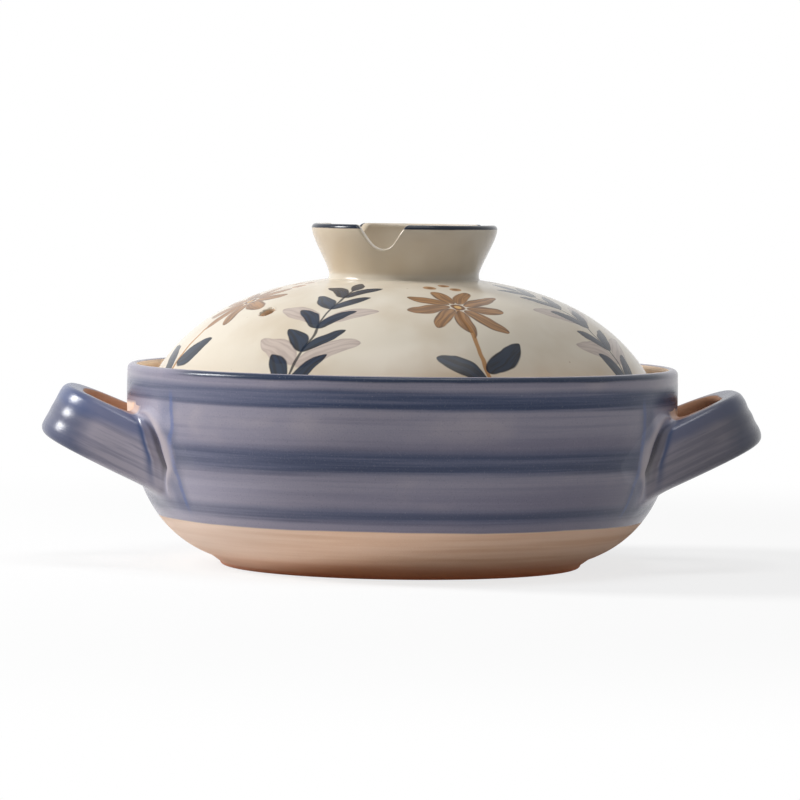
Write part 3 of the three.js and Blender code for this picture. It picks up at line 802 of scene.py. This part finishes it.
def pierce(bm):
    """Cuts the steam hole square through both skins of the lid, with a rounded edge on each."""
    spot = Vector((math.cos(STEAM_HOLE_AZIMUTH), math.sin(STEAM_HOLE_AZIMUTH), 0)) * STEAM_HOLE_PLACE
    middle = min((f for f in bm.faces if f.normal.z > 0.0),
                 key=lambda f: (f.calc_center_median() * Vector((1, 1, 0)) - spot).length)
    spot, axis = middle.calc_center_median(), middle.normal.copy()

    def from_axis(place):
        return (place - spot) - axis * (place - spot).dot(axis)

    def faces_within(radius):
        middles = ((f, f.calc_center_median()) for f in bm.faces)
        return [f for f, place in middles
                if from_axis(place).length < radius and abs((place - spot).dot(axis)) < 3 * LID_THICKNESS]

    near = faces_within(3 * STEAM_HOLE_RADIUS)
    bmesh.ops.subdivide_edges(bm, edges=list({e for f in near for e in f.edges}), cuts=2, use_grid_fill=True)
    bmesh.ops.delete(bm, geom=faces_within(STEAM_HOLE_RADIUS), context="FACES")
    rims = [[], []]
    for edge in bm.edges:
        if edge.is_boundary:
            rims[(edge.verts[0].co - spot).dot(axis) < -LID_THICKNESS / 2].append(edge)
    inner_edges = []
    for side, edges in zip((-1.0, 1.0), rims):
        for wider, deeper in STEAM_HOLE_EDGE:
            if deeper:
                made = bmesh.ops.extrude_edge_only(bm, edges=edges)["geom"]
                edges = [g for g in made if isinstance(g, bmesh.types.BMEdge)]
            for v in {v for e in edges for v in e.verts}:
                out = from_axis(v.co)
                v.co += out.normalized() * (STEAM_HOLE_RADIUS + wider - out.length) + axis * (side * deeper)
        inner_edges += edges
    for face in bmesh.ops.bridge_loops(bm, edges=inner_edges)["faces"]:
        face.material_index = 2
    bmesh.ops.recalc_face_normals(bm, faces=bm.faces)


lid_outside = dome(LID_RISE, LID_RADIUS, LID_EDGE_ROUND, 90)
lid_inside = dome(LID_RISE - LID_THICKNESS, LID_RADIUS - LID_EDGE_WIDTH, 0.0, 50)
lid_edge = arc(LID_RADIUS - LID_EDGE_ROUND, LID_SEAT + LID_EDGE_ROUND, LID_EDGE_ROUND, 0, -90, 6)
lid_mesh = throw(lid_outside + lid_edge + lid_inside[::-1], WHEEL_STEPS)
for face in lid_mesh.faces:
    if face.normal.z < 0.0:
        face.material_index = 1
pierce(lid_mesh)
plain_finish = plain_cream()
lid = fire("lid", lid_mesh, painted_cream(), plain_finish, ledge_finish)
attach(lid, "lid")
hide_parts("lid_dome")

# Crown
# A thrown ring pressed onto the lid as its grip, and its foot when the lid is turned over.
# Three notches are cut in its lip and wiped round, and a navy line is painted along the lip.
CROWN_BASE_RADIUS = 0.0330
CROWN_TOP_RADIUS = 0.0408
CROWN_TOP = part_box("lid_crown")[1][2]
CROWN_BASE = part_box("lid_crown")[0][2]
CROWN_WALL = 0.0055
CROWN_FILLET = 0.003
CROWN_BED = 0.001
CROWN_LIP_ROUND = 0.0018
CROWN_FLARE = ((0.0008, 0.0045), 0.0047)
NOTCHES = 3
NOTCH_DEPTH = 0.0105
NOTCH_ROUND = 0.0075
NOTCH_ANGLE = math.radians(32)
NOTCH_SHOULDER = 0.002
NOTCH_AZIMUTH = math.radians(-107)
NOTCH_FADE = 0.005

lip_start = CROWN_TOP - CROWN_LIP_ROUND


def crown_side(inset):
    """Outline of the flaring side of the crown, from the fillet at its base to its lip."""
    base = (CROWN_BASE_RADIUS - inset, CROWN_BASE + CROWN_FILLET)
    top = (CROWN_TOP_RADIUS - inset, lip_start)
    (out, rise), drop = CROWN_FLARE
    return bezier(base, (base[0] + out, base[1] + rise), (top[0], top[1] - drop), top, 24)


def lip_height(place):
    """Height of the lip over a place on the ring. It is lower in a notch, which has a round bottom."""
    turn = math.remainder(math.atan2(place.y, place.x) - NOTCH_AZIMUTH, math.tau / NOTCHES)
    across = abs(math.hypot(place.x, place.y) * math.sin(turn))
    tangent = NOTCH_ROUND * math.cos(NOTCH_ANGLE)
    if across < tangent:
        rise = NOTCH_ROUND - math.sqrt(NOTCH_ROUND ** 2 - across ** 2)
    else:
        rise = NOTCH_ROUND * (1 - math.sin(NOTCH_ANGLE)) + (across - tangent) / math.tan(NOTCH_ANGLE)
    bend = max(0.0, 1.0 - abs(rise - NOTCH_DEPTH) / NOTCH_SHOULDER)
    return min(CROWN_TOP, CROWN_TOP - NOTCH_DEPTH + rise) - bend ** 2 * NOTCH_SHOULDER / 4


crown_inner = CROWN_BASE_RADIUS - CROWN_WALL
fillet_top = CROWN_BASE + CROWN_FILLET
crown_outline = [
    *arc(CROWN_BASE_RADIUS + CROWN_FILLET, fillet_top - CROWN_BED, CROWN_FILLET, -100, -180, 6),
    *crown_side(0.0),
    *arc(CROWN_TOP_RADIUS - CROWN_LIP_ROUND, lip_start, CROWN_LIP_ROUND, 0, 90, 8),
    *arc(CROWN_TOP_RADIUS - CROWN_WALL + CROWN_LIP_ROUND, lip_start, CROWN_LIP_ROUND, 90, 180, 8),
    *crown_side(CROWN_WALL)[::-1],
    *arc(crown_inner - CROWN_FILLET, fillet_top, CROWN_FILLET, 0, -80, 6),
]
crown_outline.append(crown_outline[0].copy())
crown_mesh = throw(crown_outline, WHEEL_STEPS)
# A notch draws the wall down towards the foot of the crown, along its flare.
crown_flare = crown_side(0.0)
foot = CROWN_BASE + NOTCH_FADE
for v in crown_mesh.verts:
    if v.co.z > foot:
        lower = foot + (v.co.z - foot) * (lip_height(v.co) - foot) / (CROWN_TOP - foot)
        inset = radius_at(crown_flare, v.co.z) - radius_at(crown_flare, lower)
        narrower = 1.0 - inset / math.hypot(v.co.x, v.co.y)
        v.co = Vector((v.co.x * narrower, v.co.y * narrower, lower))
crown = fire("crown", crown_mesh, plain_finish)
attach(crown, "lid")
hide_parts("lid_crown")

# Floor
# A plain white floor that takes the shadow of the pot.
# Away from the pot it runs into the white of the background.
FLOOR_SIZE = 12.0
FLOOR_GREY = (0.8, 0.8, 0.8, 1.0)
PAPER_WHITE = (0.9, 0.9, 0.9, 1.0)
PAPER_GLOW = 0.76
SHADOW_REACH = (300.0, 650.0)


def seen_ray(tree):
    """1 for a ray from the camera, or one mirrored or bent on its way, and 0 for light on a surface."""
    path = tree.nodes.new("ShaderNodeLightPath")
    camera_ray, glossy_ray, clear_ray = (
        Field(path.outputs[name]) for name in ("Is Camera Ray", "Is Glossy Ray", "Is Transmission Ray"))
    return camera_ray.larger(glossy_ray).larger(clear_ray)


def white_floor():
    finish = Finish("white_floor")
    finish.shader.inputs["Base Color"].default_value = FLOOR_GREY
    finish.shader.inputs["Roughness"].default_value = 0.9
    nodes, links = finish.tree.nodes, finish.tree.links
    paper = nodes.new("ShaderNodeBsdfDiffuse")
    paper.inputs["Color"].default_value = PAPER_WHITE
    glow = nodes.new("ShaderNodeEmission")
    glow.inputs["Strength"].default_value = 1.0

    def mixed(first, second, amount):
        made = nodes.new("ShaderNodeMixShader")
        plug(made.inputs[0], amount)
        links.new(first.outputs[0], made.inputs[1])
        links.new(second.outputs[0], made.inputs[2])
        return made

    near = mixed(paper, glow, PAPER_GLOW)
    fade = mixed(near, glow, finish.radius().rise(*SHADOW_REACH))
    choice = mixed(finish.shader, fade, seen_ray(finish.tree))
    links.new(choice.outputs[0], nodes["Material Output"].inputs["Surface"])
    return finish.material


floor_mesh = bmesh.new()
bmesh.ops.create_grid(floor_mesh, x_segments=1, y_segments=1, size=FLOOR_SIZE / 2)
floor = fire("floor", floor_mesh, white_floor())

# Light
# One soft lamp on the left, a wider and weaker one high above the front, and a dim white room round the pot.
LAMP_AIM = Vector((0.0, 0.0, 0.08))
ROOM_LIGHT = 0.14


def lamp(name, place, width, height, power):
    light = bpy.data.lights.new(name, "AREA")
    light.shape = "RECTANGLE"
    light.size, light.size_y = width, height
    light.energy = power
    made = bpy.data.objects.new(name, light)
    made.location = place
    made.rotation_euler = (LAMP_AIM - Vector(place)).to_track_quat("-Z", "Y").to_euler()
    bpy.context.collection.objects.link(made)


lamp("key", place=(-1.72, 0.2, 1.1), width=0.5, height=0.55, power=40.0)
lamp("top", place=(0.1, -0.35, 1.7), width=1.0, height=0.7, power=11.0)
room = bpy.data.worlds.new("room")
room.use_nodes = True
walls = room.node_tree.nodes["Background"]
walls.inputs["Color"].default_value = (1.0, 1.0, 1.0, 1.0)
plug(walls.inputs["Strength"], seen_ray(room.node_tree) * (1.0 - ROOM_LIGHT) + ROOM_LIGHT)
bpy.context.scene.world = room

bpy.context.scene.view_settings.view_transform = "Standard"
